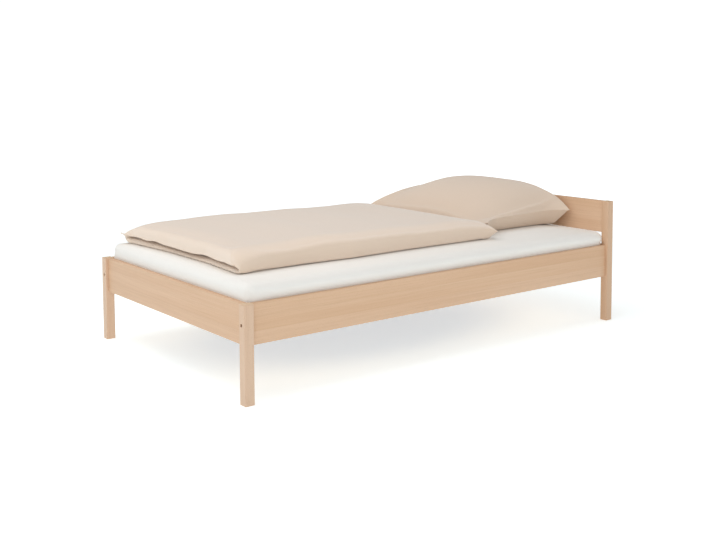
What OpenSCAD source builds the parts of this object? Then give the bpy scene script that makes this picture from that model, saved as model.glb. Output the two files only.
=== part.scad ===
// Single bed: square legs and posts, flat rails, a plain headboard panel,
// a slatted base on ledges, a mattress with a fitted sheet, a folded duvet and a pillow.
// Millimetres. Origin: centre of the footprint, on the floor.
// +X runs from the foot end to the head end, +Y to the left side seen from the foot end, +Z up.

/* [Mattress] */
// Width of the mattress the frame is made for
mattress_w = 1200; // [1000:10:1300]
// Length of the mattress
mattress_l = 2000; // [1900:10:2200]
// Height of the mattress
mattress_h = 172; // [140:1:200]
// Radius of the mattress corners, seen from above
mattress_r = 28; // [24:1:70]
// Rounding along the top and bottom edges of the mattress
mattress_edge_r = 18; // [8:1:30]

/* [Legs and posts] */
// Side of the square section of the legs and posts
leg_w = 40; // [38:1:60]
// Height of the foot legs
foot_leg_h = 375; // [360:1:420]
// Height of the head posts
head_post_h = 590; // [560:1:700]
// Rounding along the edges of the legs and posts
leg_r = 3; // [1:0.5:6]

/* [Rails and headboard] */
// Thickness of every rail and of the headboard
rail_t = 20; // [18:1:26]
// Height of a rail
rail_h = 156; // [150:1:180]
// Height of the rails' lower edge above the floor
rail_z = 219; // [180:1:240]
// Depth of the side rails behind the posts' outer faces
side_setback = 14; // [8:1:18]
// Depth of the end rails and the headboard behind the posts' outer faces
end_setback = 13; // [8:1:18]
// Height of the headboard panel
headboard_h = 156; // [120:1:180]
// Rounding along the edges of the rails and the headboard
rail_r = 3; // [1:0.5:6]
// Gap between the mattress and each side rail
side_gap = 1; // [1:0.5:10]
// Gap between the mattress and each end rail
end_gap = 3; // [1:0.5:15]

/* [Slatted base] */
// Width of one slat
slat_w = 70; // [50:1:90]
// Thickness of one slat
slat_t = 20; // [14:1:25]
// Depth of a ledge, measured out from its rail
ledge_w = 20; // [18:1:30]
// Height of a ledge
ledge_h = 30; // [25:1:36]
// Height of the ledge's top above the floor, where the slats rest
ledge_top = 255; // [250:1:258]
// Width of a webbing tape
tape_w = 25; // [20:1:40]
// Distance of each tape from the middle of the bed
tape_y = 380; // [250:5:450]

/* [Joinery] */
// Shank diameter of a frame bolt
bolt_d = 8; // [6:1:8]
// Head diameter of a frame bolt
bolt_head_d = 13; // [11:0.5:13]
// Height of a frame bolt's head
bolt_head_h = 8; // [5:0.5:9]
// Diameter of the recess that takes a bolt head
recess_d = 14; // [13.5:0.5:16]
// Depth of that recess
recess_depth = 12; // [10:0.5:14]
// Shank length of a frame bolt
bolt_l = 68; // [64:1:74]
// Diameter of a barrel nut
barrel_d = 14; // [12:0.5:16]
// Distance from a side rail's end to the middle of its barrel nut
barrel_in = 30; // [28:1:34]
// Dowel diameter at the side rails
side_dowel_d = 10; // [8:0.5:10]
// Dowel diameter at the end rails and the headboard
end_dowel_d = 8; // [6:0.5:8]

/* [Duvet] */
// Length of the folded duvet, along the bed
duvet_l = 1370; // [1200:10:1400]
// Width of the duvet once it is folded in half
duvet_w = 1020; // [900:2:1030]
// Thickness of the folded duvet in the middle
duvet_t = 99; // [80:1:130]

/* [Pillow] */
// Length of the pillow, across the bed
pillow_l = 920; // [700:10:940]
// Width of the pillow, along the bed
pillow_w = 585; // [450:5:585]
// Thickness of the pillow in the middle
pillow_t = 234; // [150:2:240]

/* [Hidden] */
$fn = 48;
eps = 0.01;
half_l = mattress_l/2 + end_gap + rail_t + end_setback;    // half the bed's length
half_w = mattress_w/2 + side_gap + rail_t + side_setback;  // half the bed's width
leg_x = half_l - leg_w/2;                // centre of a leg
leg_y = half_w - leg_w/2;
rail_top = rail_z + rail_h;
rail_mid = rail_z + rail_h/2;
side_rail_l = 2*(half_l - leg_w);        // between a foot leg and a head post
end_rail_l = 2*(half_w - leg_w);         // between the left and the right leg
side_rail_y = half_w - side_setback - rail_t/2;  // middle plane of a side rail
end_rail_x = half_l - end_setback - rail_t/2;    // middle plane of an end rail
headboard_z = head_post_h - headboard_h;
side_dowel_z = [rail_mid - 50, rail_mid + 50];
end_dowel_z = [rail_mid - 65, rail_mid - 25, rail_mid + 25, rail_mid + 65];
board_dowel_z = [headboard_z + 26, headboard_z + headboard_h/2, head_post_h - 26];
side_dowel_half = 25;                    // half the length of a side rail dowel
end_dowel_half = 20;                     // half the length of an end rail dowel
slat_n = 17;
slat_pitch = (mattress_l - 80)/(slat_n - 1);
slat_l = mattress_w - 4;
slat_top = ledge_top + slat_t;
tape_t = 1;
staple_r = 0.6;
screw_n = 7;
screw_pitch = 300;
barrel_l = 16;
// soft parts, from the slats up: sheet, cover, core
sheet_t = 0.8;
cover_t = 1.8;
ply_gap = 0.2;
sheet_z = slat_top + 0.3;
skirt = 120;                             // how far the sheet turns under the mattress
hem_w = 6;
bed_top = sheet_z + mattress_h;          // top of the sheet
soft_gap = 0.5;                          // daylight under the duvet and the pillow
duvet_x0 = -985;                         // foot end of the duvet
duvet_y0 = -484;                         // the fold's outermost line
duvet_z0 = bed_top + soft_gap;
duvet_foot_h = 32;                       // height at the pinched foot end
duvet_head_h = 56;                       // height at the head end
pillow_x0 = half_l - end_setback - rail_t - 9 - pillow_w;
pillow_y = 28;                           // middle of the pillow across the bed
pillow_z0 = bed_top + soft_gap;

// ---------- shared shapes ----------

// rectangle with round corners, centred
module rrect(w, h, r) {
    square([w - 2*r, h], center = true);
    square([w, h - 2*r], center = true);
    for (x = [-1, 1], y = [-1, 1]) translate([x*(w/2 - r), y*(h/2 - r)]) circle(r);
}

// bar along X, Y or Z with its four long edges rounded
module bar_x(l, w, h, r) { rotate([90, 0, 90]) linear_extrude(l, center = true) rrect(w, h, r); }
module bar_y(l, w, h, r) { rotate([90, 0, 0]) linear_extrude(l, center = true) rrect(w, h, r); }
module bar_z(w, d, h, r) { linear_extrude(h, center = true) rrect(w, d, r); }

// cylinders along X and Y
module rod_x(r, l) { rotate([0, 90, 0]) cylinder(r = r, h = l, center = true); }
module rod_y(r, l) { rotate([90, 0, 0]) cylinder(r = r, h = l, center = true); }

// block with plan corners of radius R and rounded top and bottom edges of radius r, standing on z = 0
module block(l, w, h, R, r) {
    translate([0, 0, h/2]) intersection() {
        bar_z(l, w, h, R);
        bar_x(l, w, h, r);
        bar_y(w, l, h, r);
    }
}

// ---------- legs and posts ----------

// upright of height h centred on the Z axis, all its edges rounded
module upright(h) {
    translate([0, 0, h/2]) intersection() {
        bar_z(leg_w, leg_w, h, leg_r);
        bar_x(leg_w, leg_w, h, 2);
        bar_y(leg_w, leg_w, h, 2);
    }
}

// bolt hole with its recess, and the dowel holes; sx and sy say which corner of the bed (-1 or +1)
module leg_holes(sx, sy) {
    // the frame bolt: straight through, with a recess on the outer face
    translate([sx*leg_x, sy*side_rail_y, rail_mid]) rod_x(bolt_d/2 + 0.5, leg_w + 2);
    translate([sx*(half_l - recess_depth/2 + eps), sy*side_rail_y, rail_mid]) rod_x(recess_d/2, recess_depth + 2*eps);
    // dowels of the side rail
    for (z = side_dowel_z)
        translate([sx*(half_l - leg_w + side_dowel_half/2 - 1), sy*side_rail_y, z]) rod_x(side_dowel_d/2, side_dowel_half + 3);
    // dowels of the end rail
    for (z = end_dowel_z)
        translate([sx*end_rail_x, sy*(half_w - leg_w + end_dowel_half/2 - 1), z]) rod_y(end_dowel_d/2, end_dowel_half + 3);
}

module foot_leg(sy) {
    color([0.87, 0.76, 0.66]) difference() {
        translate([-leg_x, sy*leg_y, 0]) upright(foot_leg_h);
        leg_holes(-1, sy);
    }
}

module head_post(sy) {
    color([0.85, 0.74, 0.63]) difference() {
        translate([leg_x, sy*leg_y, 0]) upright(head_post_h);
        leg_holes(1, sy);
        for (z = board_dowel_z)
            translate([end_rail_x, sy*(half_w - leg_w + end_dowel_half/2 - 1), z]) rod_y(end_dowel_d/2, end_dowel_half + 3);
    }
}

module foot_leg_left() { foot_leg(1); }
module foot_leg_right() { foot_leg(-1); }
module head_post_left() { head_post(1); }
module head_post_right() { head_post(-1); }

// ---------- rails and headboard ----------

// side rail: bolt, barrel nut and dowel holes at both ends, pilot holes for the ledge screws
module side_rail(sy) {
    color([0.85, 0.73, 0.61]) difference() {
        translate([0, sy*side_rail_y, rail_mid]) bar_x(side_rail_l, rail_t, rail_h, rail_r);
        for (sx = [-1, 1]) {
            translate([sx*(side_rail_l/2 - 25), sy*side_rail_y, rail_mid]) rod_x(bolt_d/2 + 0.5, 54);
            translate([sx*(side_rail_l/2 - barrel_in), sy*(side_rail_y - 1.5), rail_mid]) rod_y(barrel_d/2, barrel_l + 4);
            for (z = side_dowel_z)
                translate([sx*(side_rail_l/2 - side_dowel_half/2 + 1), sy*side_rail_y, z]) rod_x(side_dowel_d/2, side_dowel_half + 3);
        }
        for (i = [0 : screw_n - 1])
            translate([(i - (screw_n - 1)/2)*screw_pitch, sy*(side_rail_y - rail_t/2 + 5.6), ledge_top - ledge_h/2]) rod_y(2.05, 13.6);
    }
}

// rail or panel between two posts, with dowel holes in its ends
module end_board(x, z0, h, dowels) {
    difference() {
        translate([x, 0, z0 + h/2]) bar_y(end_rail_l, rail_t, h, rail_r);
        for (sy = [-1, 1], z = dowels)
            translate([x, sy*(end_rail_l/2 - end_dowel_half/2 + 1), z]) rod_y(end_dowel_d/2, end_dowel_half + 3);
    }
}

module side_rail_left() { side_rail(1); }
module side_rail_right() { side_rail(-1); }
module foot_rail() { color([0.85, 0.73, 0.62]) end_board(-end_rail_x, rail_z, rail_h, end_dowel_z); }
module head_rail() { color([0.85, 0.73, 0.62]) end_board(end_rail_x, rail_z, rail_h, end_dowel_z); }
module headboard() { color([0.82, 0.68, 0.54]) end_board(end_rail_x, headboard_z, headboard_h, board_dowel_z); }

// ---------- ledges for the slats ----------

// countersunk screw along +Y, its head flush with y = 0; g is the clearance when it cuts its own hole
module ledge_screw(g) {
    rotate([-90, 0, 0]) {
        translate([0, 0, g > 0 ? -0.5 : 0]) cylinder(r = 4 + g, h = 0.5 + (g > 0 ? 0.5 + g : 0));
        translate([0, 0, 0.5]) cylinder(r1 = 4 + g, r2 = 2 + g, h = 2.5);
        cylinder(r = 2 + g, h = 32 + 2*g);
    }
}

module slat_ledge(sy) {
    y_in = side_rail_y - rail_t/2 - ledge_w;
    color([0.83, 0.71, 0.56]) difference() {
        translate([0, sy*(y_in + ledge_w/2), ledge_top - ledge_h/2]) bar_x(side_rail_l - 10, ledge_w, ledge_h, 2);
        for (i = [0 : screw_n - 1])
            translate([(i - (screw_n - 1)/2)*screw_pitch, sy*y_in, ledge_top - ledge_h/2])
                mirror([0, sy < 0 ? 1 : 0, 0]) ledge_screw(0.05);
    }
}

module slat_ledge_left() { slat_ledge(1); }
module slat_ledge_right() { slat_ledge(-1); }

module ledge_screws() {
    y_in = side_rail_y - rail_t/2 - ledge_w;
    color([0.70, 0.70, 0.72]) for (sy = [-1, 1], i = [0 : screw_n - 1])
        translate([(i - (screw_n - 1)/2)*screw_pitch, sy*y_in, ledge_top - ledge_h/2])
            mirror([0, sy < 0 ? 1 : 0, 0]) difference() {
                ledge_screw(0);
                translate([0, -1, 0]) rotate([-90, 0, 0]) cylinder(r = 1.6, h = 3, $fn = 6);
            }
}

// ---------- frame fasteners ----------

// cylinder head bolt along +X, the underside of its head on x = 0, hexagon socket in the head
module frame_bolt() {
    difference() {
        union() {
            translate([-bolt_head_h/2, 0, 0]) rod_x(bolt_head_d/2, bolt_head_h);
            translate([bolt_l/2, 0, 0]) rod_x(bolt_d/2, bolt_l);
        }
        translate([-bolt_head_h - 1, 0, 0]) rotate([0, 90, 0]) cylinder(r = 3.45, h = 5, $fn = 6);
    }
}

module frame_bolts() {
    color([0.42, 0.34, 0.30]) for (sx = [-1, 1], sy = [-1, 1])
        translate([sx*(half_l - recess_depth), sy*side_rail_y, rail_mid])
            mirror([sx > 0 ? 1 : 0, 0, 0]) frame_bolt();
}

module barrel_nuts() {
    color([0.72, 0.72, 0.74]) for (sx = [-1, 1], sy = [-1, 1])
        translate([sx*(side_rail_l/2 - barrel_in), sy*side_rail_y, rail_mid]) difference() {
            rod_y(barrel_d/2 - 0.05, barrel_l);
            rod_x(bolt_d/2 + 0.05, barrel_d + 2);
            // screwdriver slot that turns the nut square to the bolt
            translate([0, -sy*barrel_l/2, 0]) cube([1.4, 3, barrel_d - 2], center = true);
        }
}

module side_rail_dowels() {
    color([0.86, 0.74, 0.58]) for (sx = [-1, 1], sy = [-1, 1], z = side_dowel_z)
        translate([sx*side_rail_l/2, sy*side_rail_y, z]) rod_x(side_dowel_d/2 - 0.05, 2*side_dowel_half);
}

module end_rail_dowels() {
    color([0.86, 0.74, 0.58]) for (sx = [-1, 1], sy = [-1, 1], z = end_dowel_z)
        translate([sx*end_rail_x, sy*end_rail_l/2, z]) rod_y(end_dowel_d/2 - 0.05, 2*end_dowel_half);
}

module headboard_dowels() {
    color([0.86, 0.74, 0.58]) for (sy = [-1, 1], z = board_dowel_z)
        translate([end_rail_x, sy*end_rail_l/2, z]) rod_y(end_dowel_d/2 - 0.05, 2*end_dowel_half);
}

// ---------- slatted base ----------

module slat(i) {
    color([0.84, 0.73, 0.57])
        translate([(i - 1 - (slat_n - 1)/2)*slat_pitch, 0, ledge_top + slat_t/2]) bar_y(slat_l, slat_w, slat_t, 3);
}

// webbing tape under the slats, from the first to the last
module slat_tape(sy) {
    color([0.93, 0.92, 0.88])
        translate([0, sy*tape_y, ledge_top - tape_t/2]) cube([(slat_n - 1)*slat_pitch + slat_w - 10, tape_w, tape_t], center = true);
}

module slat_tape_left() { slat_tape(1); }
module slat_tape_right() { slat_tape(-1); }

// one staple per slat and tape: a crown under the tape and two legs up into the slat
module slat_staples() {
    color([0.75, 0.75, 0.77]) for (i = [0 : slat_n - 1], sy = [-1, 1])
        translate([(i - (slat_n - 1)/2)*slat_pitch, sy*tape_y, ledge_top - tape_t - staple_r]) {
            rod_x(staple_r, 10);
            for (x = [-5, 5]) translate([x, 0, 0]) {
                sphere(staple_r);
                cylinder(r = staple_r, h = 10);
            }
        }
}

// ---------- mattress and sheet ----------

module mattress_block(d) {
    translate([0, 0, sheet_z + d])
        block(mattress_l - 2 - 2*d, mattress_w - 0.6 - 2*d, mattress_h - 2*d, mattress_r - d, mattress_edge_r - d);
}

module mattress_core() {
    color([0.95, 0.93, 0.84]) mattress_block(sheet_t + cover_t + 2*ply_gap);
}

module mattress_cover() {
    color([0.95, 0.95, 0.94]) difference() {
        mattress_block(sheet_t + ply_gap);
        mattress_block(sheet_t + cover_t + ply_gap);
    }
}

// the sheet covers the top and the sides and turns under all round
module fitted_sheet() {
    color([0.93, 0.93, 0.92]) difference() {
        mattress_block(0);
        mattress_block(sheet_t);
        translate([0, 0, sheet_z]) cube([mattress_l - 2 - 2*skirt, mattress_w - 0.6 - 2*skirt, 8], center = true);
    }
}

// elastic along the edge of the turned-under sheet
module sheet_elastic() {
    color([0.96, 0.96, 0.95]) translate([0, 0, sheet_z]) difference() {
        translate([0, 0, sheet_t/2]) cube([mattress_l - 2 - 2*skirt, mattress_w - 0.6 - 2*skirt, sheet_t], center = true);
        cube([mattress_l - 2 - 2*skirt - 2*hem_w, mattress_w - 0.6 - 2*skirt - 2*hem_w, 8], center = true);
    }
}

// ---------- duvet ----------

// height of the duvet's top at t from 0 (its end) to 1 (where the end's slope is over)
function rise(h0, h1, t) = h0 + (h1 - h0)*sqrt(max(0, 1 - (1 - t)*(1 - t)));

// outline along the bed (x, z), d inside the outer skin
function duvet_side(d) = let (n = 10, x1 = duvet_x0 + duvet_l, ef = 190, eh = 150) concat(
    [[duvet_x0 + d, duvet_z0 + d], [x1 - d, duvet_z0 + d]],
    [for (i = [0 : n]) let (t = i/n) [x1 - d - t*eh, duvet_z0 - d + rise(duvet_head_h, duvet_t, t)]],
    [for (i = [n : -1 : 0]) let (t = i/n) [duvet_x0 + d + t*ef, duvet_z0 - d + rise(duvet_foot_h, duvet_t, t)]]);

// outline across the bed (y, z): the round fold on the right, the open edges on the left
function duvet_cross(d) = let (n = 12, y1 = duvet_y0 + duvet_w, ry = 66, rz = duvet_t/2) concat(
    [[y1 - d, duvet_z0 + d]],
    [for (i = [0 : n]) let (a = -90 - 180*i/n) [duvet_y0 + ry + (ry - d)*cos(a), duvet_z0 + rz + (rz - d)*sin(a)]],
    [for (i = [n : -1 : 0]) let (t = i/n) [y1 - d - t*150, duvet_z0 - d + rise(62, duvet_t, t)]]);

module duvet_shape(d) {
    intersection() {
        rotate([90, 0, 0]) linear_extrude(3*duvet_w, center = true) polygon(duvet_side(d));
        rotate([90, 0, 90]) linear_extrude(3*duvet_l, center = true) polygon(duvet_cross(d));
    }
}

// the slit between the two layers, from the open edge nearly to the fold
module duvet_slit(d) {
    translate([0, duvet_y0 + 60 - d, duvet_z0 + 34 - d]) translate([-3000, 0, 0]) cube([6000, duvet_w, 2 + 2*d]);
}

module duvet_filling() {
    color([0.96, 0.96, 0.95]) difference() {
        duvet_shape(1.3);
        duvet_slit(1.3);
    }
}

module duvet_cover() {
    color([0.84, 0.79, 0.74]) difference() {
        duvet_shape(0);
        duvet_slit(0);
        difference() {
            duvet_shape(1);
            duvet_slit(1);
        }
    }
}

// ---------- pillow ----------

// plan outline of the pillow at height share k (0 at the bottom, 1 at the top), d inside the case
module pillow_layer(k, f, d) {
    translate([pillow_x0 + pillow_w/2, pillow_y, pillow_z0 + d + k*(pillow_t - 2*d) - (k > 0.5 ? 0.1 : 0)])
        linear_extrude(0.1) offset(r = 40) square([pillow_w*f - 80 - 2*d, pillow_l*f - 80 - 2*d], center = true);
}

module pillow_shape(d) {
    hull() {
        pillow_layer(0, 0.62, d);
        pillow_layer(0.12, 0.84, d);
        pillow_layer(0.38, 1, d);
        pillow_layer(0.62, 0.88, d);
        pillow_layer(0.84, 0.66, d);
        pillow_layer(1, 0.34, d);
    }
}

module pillow_filling() {
    color([0.96, 0.96, 0.95]) pillow_shape(1.3);
}

module pillowcase() {
    color([0.82, 0.76, 0.70]) difference() {
        pillow_shape(0);
        pillow_shape(1);
    }
}

foot_leg_left();
foot_leg_right();
head_post_left();
head_post_right();
side_rail_left();
side_rail_right();
foot_rail();
head_rail();
headboard();
slat_ledge_left();
slat_ledge_right();
ledge_screws();
frame_bolts();
barrel_nuts();
side_rail_dowels();
end_rail_dowels();
headboard_dowels();
slat(1);  // slat_01
slat(2);  // slat_02
slat(3);  // slat_03
slat(4);  // slat_04
slat(5);  // slat_05
slat(6);  // slat_06
slat(7);  // slat_07
slat(8);  // slat_08
slat(9);  // slat_09
slat(10);  // slat_10
slat(11);  // slat_11
slat(12);  // slat_12
slat(13);  // slat_13
slat(14);  // slat_14
slat(15);  // slat_15
slat(16);  // slat_16
slat(17);  // slat_17
slat_tape_left();
slat_tape_right();
slat_staples();
mattress_core();
mattress_cover();
fitted_sheet();
sheet_elastic();
duvet_filling();
duvet_cover();
pillow_filling();
pillowcase();
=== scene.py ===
import math

import bpy
import numpy as np
from mathutils import Matrix, Vector


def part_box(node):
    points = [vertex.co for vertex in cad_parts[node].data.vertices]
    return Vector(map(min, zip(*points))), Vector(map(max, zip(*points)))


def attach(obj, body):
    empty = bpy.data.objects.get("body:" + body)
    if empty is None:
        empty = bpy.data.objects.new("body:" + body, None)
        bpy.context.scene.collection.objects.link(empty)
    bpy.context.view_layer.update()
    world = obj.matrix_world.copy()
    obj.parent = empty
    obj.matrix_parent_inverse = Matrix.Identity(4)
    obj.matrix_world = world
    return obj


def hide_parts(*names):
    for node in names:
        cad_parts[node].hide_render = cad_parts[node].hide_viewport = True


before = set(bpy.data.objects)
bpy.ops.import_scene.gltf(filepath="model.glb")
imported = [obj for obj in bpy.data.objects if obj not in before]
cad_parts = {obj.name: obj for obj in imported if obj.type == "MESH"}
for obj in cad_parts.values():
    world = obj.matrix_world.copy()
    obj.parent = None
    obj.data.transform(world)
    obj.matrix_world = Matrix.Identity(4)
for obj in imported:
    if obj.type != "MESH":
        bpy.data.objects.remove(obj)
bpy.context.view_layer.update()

scene = bpy.context.scene


# ---------------------------------------------------------------- helpers

def lin(r, g, b):
    """8-bit sRGB to linear RGBA"""
    def f(c):
        c /= 255.0
        return c / 12.92 if c <= 0.04045 else ((c + 0.055) / 1.055) ** 2.4
    return (f(r), f(g), f(b), 1.0)


def smooth(t):
    t = np.clip(t, 0.0, 1.0)
    return t * t * (3 - 2 * t)


def value_noise(p, seed=0):
    """smooth 3-D value noise in -1..1 at the points p (n, 3), the same on every run"""
    p = np.asarray(p, float)
    i = np.floor(p).astype(np.int64)
    f = p - i
    f = f * f * f * (f * (f * 6 - 15) + 10)

    def h(a, b, c):
        n = (a * 73856093) ^ (b * 19349663) ^ (c * 83492791) ^ (seed * 2654435761)
        n = (n ^ (n >> 13)) & 0x7FFFFFFF
        n = (n * (n * n * 15731 + 789221) + 1376312589) & 0x7FFFFFFF
        return n / 1073741824.0 - 1.0

    out = 0.0
    for dx in (0, 1):
        for dy in (0, 1):
            for dz in (0, 1):
                w = (f[:, 0] if dx else 1 - f[:, 0]) * (f[:, 1] if dy else 1 - f[:, 1]) * (f[:, 2] if dz else 1 - f[:, 2])
                out = out + w * h(i[:, 0] + dx, i[:, 1] + dy, i[:, 2] + dz)
    return out


def make_mesh(name, points, faces, uvs=None):
    """a mesh object from numpy points, quads or triangles, and one UV per point"""
    me = bpy.data.meshes.new(name)
    me.from_pydata([tuple(p) for p in points], [], [tuple(int(i) for i in f) for f in faces])
    me.update()
    if uvs is not None:
        layer = me.uv_layers.new(name="UVMap")
        idx = np.zeros(len(me.loops), np.int32)
        me.loops.foreach_get("vertex_index", idx)
        layer.data.foreach_set("uv", np.asarray(uvs, np.float32)[idx].ravel())
    me.shade_smooth()
    o = bpy.data.objects.new(name, me)
    scene.collection.objects.link(o)
    return o


def coords(o):
    co = np.zeros(len(o.data.vertices) * 3, np.float32)
    o.data.vertices.foreach_get("co", co)
    return co.reshape(-1, 3).astype(float)


def set_coords(o, co):
    o.data.vertices.foreach_set("co", np.asarray(co, np.float32).ravel())
    o.data.update()


def normals(o):
    n = np.zeros(len(o.data.vertices) * 3, np.float32)
    o.data.vertices.foreach_get("normal", n)
    return n.reshape(-1, 3).astype(float)


def subdivide(o, levels=1):
    m = o.modifiers.new("Subdivision", "SUBSURF")
    m.levels = m.render_levels = levels
    m.uv_smooth = "PRESERVE_BOUNDARIES"
    return m


# ---------------------------------------------------------------- camera

def look(location, heading, pitch, lens, shift_x, shift_y):
    cam = bpy.data.cameras.new("camera")
    o = bpy.data.objects.new("camera", cam)
    scene.collection.objects.link(o)
    f = Vector((math.cos(heading) * math.cos(pitch), math.sin(heading) * math.cos(pitch), -math.sin(pitch)))
    r = Vector((math.sin(heading), -math.cos(heading), 0))
    u = r.cross(f)
    o.matrix_world = Matrix(((r.x, u.x, -f.x, location[0]), (r.y, u.y, -f.y, location[1]),
                             (r.z, u.z, -f.z, location[2]), (0, 0, 0, 1)))
    cam.sensor_fit = "HORIZONTAL"
    cam.sensor_width = 36
    cam.lens = lens
    cam.shift_x = shift_x
    cam.shift_y = shift_y
    cam.clip_start, cam.clip_end = 0.05, 60
    scene.camera = o
    return o


look((-2.8358, -3.7277, 1.1892), 0.8768, 0.0772, 50.117, -0.0723, -0.16)


# ---------------------------------------------------------------- floor and light

def node(nt, kind, x=0, y=0, **props):
    n = nt.nodes.new(kind)
    n.location = (x, y)
    for k, v in props.items():
        setattr(n, k, v)
    return n


def new_material(name):
    m = bpy.data.materials.new(name)
    m.use_nodes = True
    nt = m.node_tree
    nt.nodes.clear()
    out = node(nt, "ShaderNodeOutputMaterial", 900, 0)
    bsdf = node(nt, "ShaderNodeBsdfPrincipled", 600, 0)
    nt.links.new(bsdf.outputs["BSDF"], out.inputs["Surface"])
    return m, nt, bsdf


def floor_and_light():
    me = bpy.data.meshes.new("floor")
    s = 40.0
    me.from_pydata([(-s, -s, 0), (s, -s, 0), (s, s, 0), (-s, s, 0)], [], [(0, 1, 2, 3)])
    floor = bpy.data.objects.new("floor", me)
    scene.collection.objects.link(floor)
    # white paper lit from within, so that the shadow under the bed stays as pale as a studio's
    m, nt, bsdf = new_material("floor_paper")
    # the base is tinted cool: painted light that offsets the warm light the wood throws back onto the floor
    bsdf.inputs["Base Color"].default_value = (0.760, 0.862, 0.892, 1)
    bsdf.inputs["Roughness"].default_value = 1.0
    bsdf.inputs["Specular IOR Level"].default_value = 0.0
    # painted shadow: less glow in an oval below the bed, cooler there to offset the light that the wood throws back
    tc = node(nt, "ShaderNodeTexCoord", -1000, 0)
    painted_shadow_oval = node(nt, "ShaderNodeVectorMath", -800, 120, operation="MULTIPLY_ADD")
    nt.links.new(tc.outputs["Object"], painted_shadow_oval.inputs[0])
    painted_shadow_oval.inputs[1].default_value = (1 / 1.19, 1 / 0.70, 0)
    painted_shadow_oval.inputs[2].default_value = (0.043 / 1.19, -0.057 / 0.70, 0)
    off = node(nt, "ShaderNodeVectorMath", -600, 120, operation="LENGTH")
    nt.links.new(painted_shadow_oval.outputs[0], off.inputs[0])
    rim = node(nt, "ShaderNodeMapRange", -400, 120, interpolation_type="SMOOTHSTEP")
    for k, v in (("From Min", 0.47), ("From Max", 1.0), ("To Min", 0.0), ("To Max", 1.0)):
        rim.inputs[k].default_value = v
    nt.links.new(off.outputs["Value"], rim.inputs["Value"])
    tone = node(nt, "ShaderNodeMix", -200, 120, data_type="RGBA")
    tone.inputs[6].default_value = (0.350, 0.392, 0.452, 1)
    tone.inputs[7].default_value = (0.542, 0.542, 0.542, 1)
    nt.links.new(rim.outputs["Result"], tone.inputs[0])
    nt.links.new(tone.outputs[2], bsdf.inputs["Emission Color"])
    # a little more glow far out, where the lamps don't reach, so that no horizon shows
    away = node(nt, "ShaderNodeVectorMath", -400, -160, operation="LENGTH")
    nt.links.new(tc.outputs["Object"], away.inputs[0])
    glow = node(nt, "ShaderNodeMapRange", -200, -160, interpolation_type="SMOOTHSTEP")
    for k, v in (("From Min", 2.2), ("From Max", 6.5), ("To Min", 1.0), ("To Max", 1.9)):
        glow.inputs[k].default_value = v
    nt.links.new(away.outputs["Value"], glow.inputs["Value"])
    nt.links.new(glow.outputs["Result"], bsdf.inputs["Emission Strength"])
    m.cycles.emission_sampling = "NONE"
    me.materials.append(m)

    world = bpy.data.worlds.new("studio")
    scene.world = world
    world.use_nodes = True
    nt = world.node_tree
    bg = nt.nodes["Background"]
    bg.inputs["Color"].default_value = (1.0, 0.995, 0.985, 1)
    bg.inputs["Strength"].default_value = 0.403
    white = nt.nodes.new("ShaderNodeBackground")
    white.inputs["Color"].default_value = (1, 1, 1, 1)
    white.inputs["Strength"].default_value = 1.05
    path = nt.nodes.new("ShaderNodeLightPath")
    mix = nt.nodes.new("ShaderNodeMixShader")
    nt.links.new(path.outputs["Is Camera Ray"], mix.inputs[0])
    nt.links.new(bg.outputs[0], mix.inputs[1])
    nt.links.new(white.outputs[0], mix.inputs[2])
    nt.links.new(mix.outputs[0], nt.nodes["World Output"].inputs["Surface"])

    def area(name, loc, target, size, power, color=(1, 1, 1)):
        d = bpy.data.lights.new(name, "AREA")
        d.shape = "RECTANGLE"
        d.size, d.size_y = size
        d.energy = power
        d.color = color
        o = bpy.data.objects.new(name, d)
        scene.collection.objects.link(o)
        o.location = loc
        o.rotation_euler = (Vector(target) - Vector(loc)).to_track_quat("-Z", "Y").to_euler()
        return o

    area("overhead_softbox", (-1.1, 0.4, 3.3), (-0.3, 0.0, 0.3), (3.4, 3.0), 55)
    area("corner_softbox", (-3.6, -2.8, 2.2), (-0.7, -0.3, 0.35), (2.0, 1.8), 17)
    area("foot_softbox", (-2.7, -0.3, 3.3), (-0.4, 0.0, 0.35), (2.0, 2.4), 7)
    area("side_softbox", (0.2, -4.6, 2.0), (0.1, 0.0, 0.35), (2.6, 1.8), 13.8)
    area("head_softbox", (4.2, -1.2, 2.4), (1.0, -0.4, 0.0), (2.2, 2.0), 8.6)


floor_and_light()
scene.view_settings.view_transform = "Standard"
scene.view_settings.look = "None"
scene.view_settings.exposure = 0.0
scene.view_settings.gamma = 1.0


# ---------------------------------------------------------------- materials

def math_node(nt, op, a, b=None, c=None, x=0, y=0, clamp=False):
    n = node(nt, "ShaderNodeMath", x, y, operation=op, use_clamp=clamp)
    for i, v in enumerate((a, b, c)):
        if v is None:
            continue
        if isinstance(v, (int, float)):
            n.inputs[i].default_value = v
        else:
            nt.links.new(v, n.inputs[i])
    return n.outputs[0]


def noise_node(nt, vec, scale, detail=3.0, rough=0.55, distortion=0.0, x=0, y=0):
    n = node(nt, "ShaderNodeTexNoise", x, y)
    n.inputs["Scale"].default_value = scale
    n.inputs["Detail"].default_value = detail
    n.inputs["Roughness"].default_value = rough
    n.inputs["Distortion"].default_value = distortion
    nt.links.new(vec, n.inputs["Vector"])
    return n.outputs["Fac"]


def scaled(nt, vec, s, x=0, y=0):
    n = node(nt, "ShaderNodeVectorMath", x, y, operation="MULTIPLY")
    nt.links.new(vec, n.inputs[0])
    n.inputs[1].default_value = s
    return n.outputs[0]


def remap(nt, v, a, b, c, d, x=0, y=0):
    n = node(nt, "ShaderNodeMapRange", x, y)
    nt.links.new(v, n.inputs["Value"])
    for k, val in (("From Min", a), ("From Max", b), ("To Min", c), ("To Max", d)):
        n.inputs[k].default_value = val
    return n.outputs["Result"]


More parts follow.
